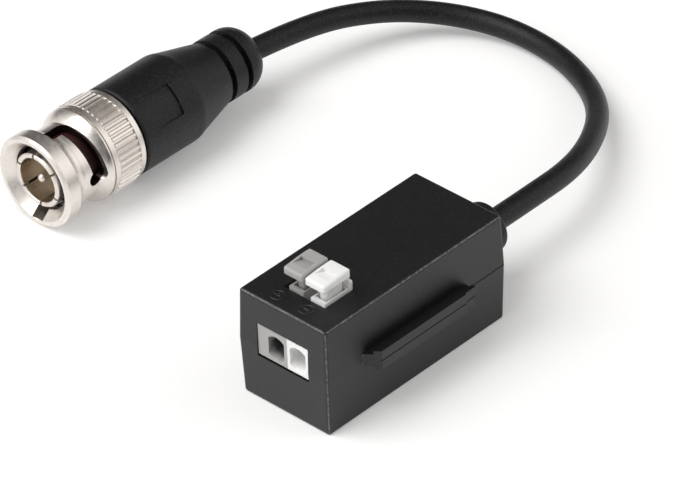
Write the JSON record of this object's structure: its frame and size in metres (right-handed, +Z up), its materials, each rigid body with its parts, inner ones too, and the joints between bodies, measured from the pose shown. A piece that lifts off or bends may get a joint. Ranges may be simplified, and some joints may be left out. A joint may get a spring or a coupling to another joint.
{
  "type": "cctv video balun",
  "caption": "Passive video balun: small two-part box with a push-lever wire terminal, coaxial lead and moulded bayonet plug.",
  "frame": {"origin": "centre of the box's flat bottom face", "axes": "+X to the side with the joining rail, +Y from the wire ports to the lead's exit, +Z up"},
  "size_m": [0.0749, 0.0888, 0.0216],
  "materials": {
    "shell_black": "satin moulded, fine grain",
    "terminal_grey": "satin",
    "terminal_white": "satin",
    "spring_steel": "bright",
    "tinned_brass": "tinned",
    "board_green": "solder mask",
    "header_black": "matte",
    "ferrite": "matt grey",
    "red_wire": "enamelled",
    "green_wire": "enamelled",
    "capacitor_sleeve": "shrink sleeve",
    "soft_black": "satin moulded",
    "nickel": "nickel plate",
    "insulator_white": "waxy",
    "gasket_red": "matt"
  },
  "bodies": {
    "housing": {"upper_shell": "shell_black", "lower_shell": "shell_black", "terminal_plus": "terminal_grey", "terminal_minus": "terminal_white", "clamp_spring_plus": "spring_steel", "clamp_spring_minus": "spring_steel", "contact_strip_plus": "tinned_brass", "contact_strip_minus": "tinned_brass", "circuit_board": "board_green", "transformer_header": "header_black", "transformer_core": "ferrite", "winding_a": "red_wire", "winding_b": "green_wire", "surge_diode": "header_black", "filter_capacitor": "capacitor_sleeve", "damping_resistor": "header_black", "cable_gland": "soft_black", "cable_tail": "soft_black", "centre_lead": "tinned_brass", "shield_lead": "tinned_brass", "cable": "soft_black", "cable_end": "soft_black", "moulded_grip": "soft_black", "shield_braid": "tinned_brass", "crimp_ferrule": "nickel", "plug_body": "nickel", "outer_contact": "nickel", "insulator": "insulator_white", "centre_pin": "nickel", "gasket": "gasket_red", "spring_washer": "spring_steel"},
    "lever_plus": {"lever_plus": "terminal_grey"},
    "lever_minus": {"lever_minus": "terminal_white"},
    "clip": {"retaining_clip": "spring_steel"},
    "ring": {"coupling_ring": "nickel"}
  },
  "joints": [
    {"name": "lever_plus_press", "type": "slide", "parent": "housing", "child": "lever_plus", "axis": [0, 0, 1], "range_m": [-0.0016, 0], "stiffness_N_per_m": 1500, "deforming": ["clamp_spring_plus"]},
    {"name": "lever_minus_press", "type": "slide", "parent": "housing", "child": "lever_minus", "axis": [0, 0, 1], "range_m": [-0.0016, 0], "stiffness_N_per_m": 1500, "deforming": ["clamp_spring_minus"]},
    {"name": "ring_pull", "type": "slide", "parent": "housing", "child": "clip", "axis": [-0.0079, -1, 0], "range_m": [0, 0.0008], "stiffness_N_per_m": 4000, "deforming": ["spring_washer"]},
    {"name": "ring_turn", "type": "hinge", "parent": "clip", "child": "ring", "pos_m": [-0.05719, -0.00105, 0.00735], "axis": [0.0079, 1, 0], "continuous": true}
  ]
}
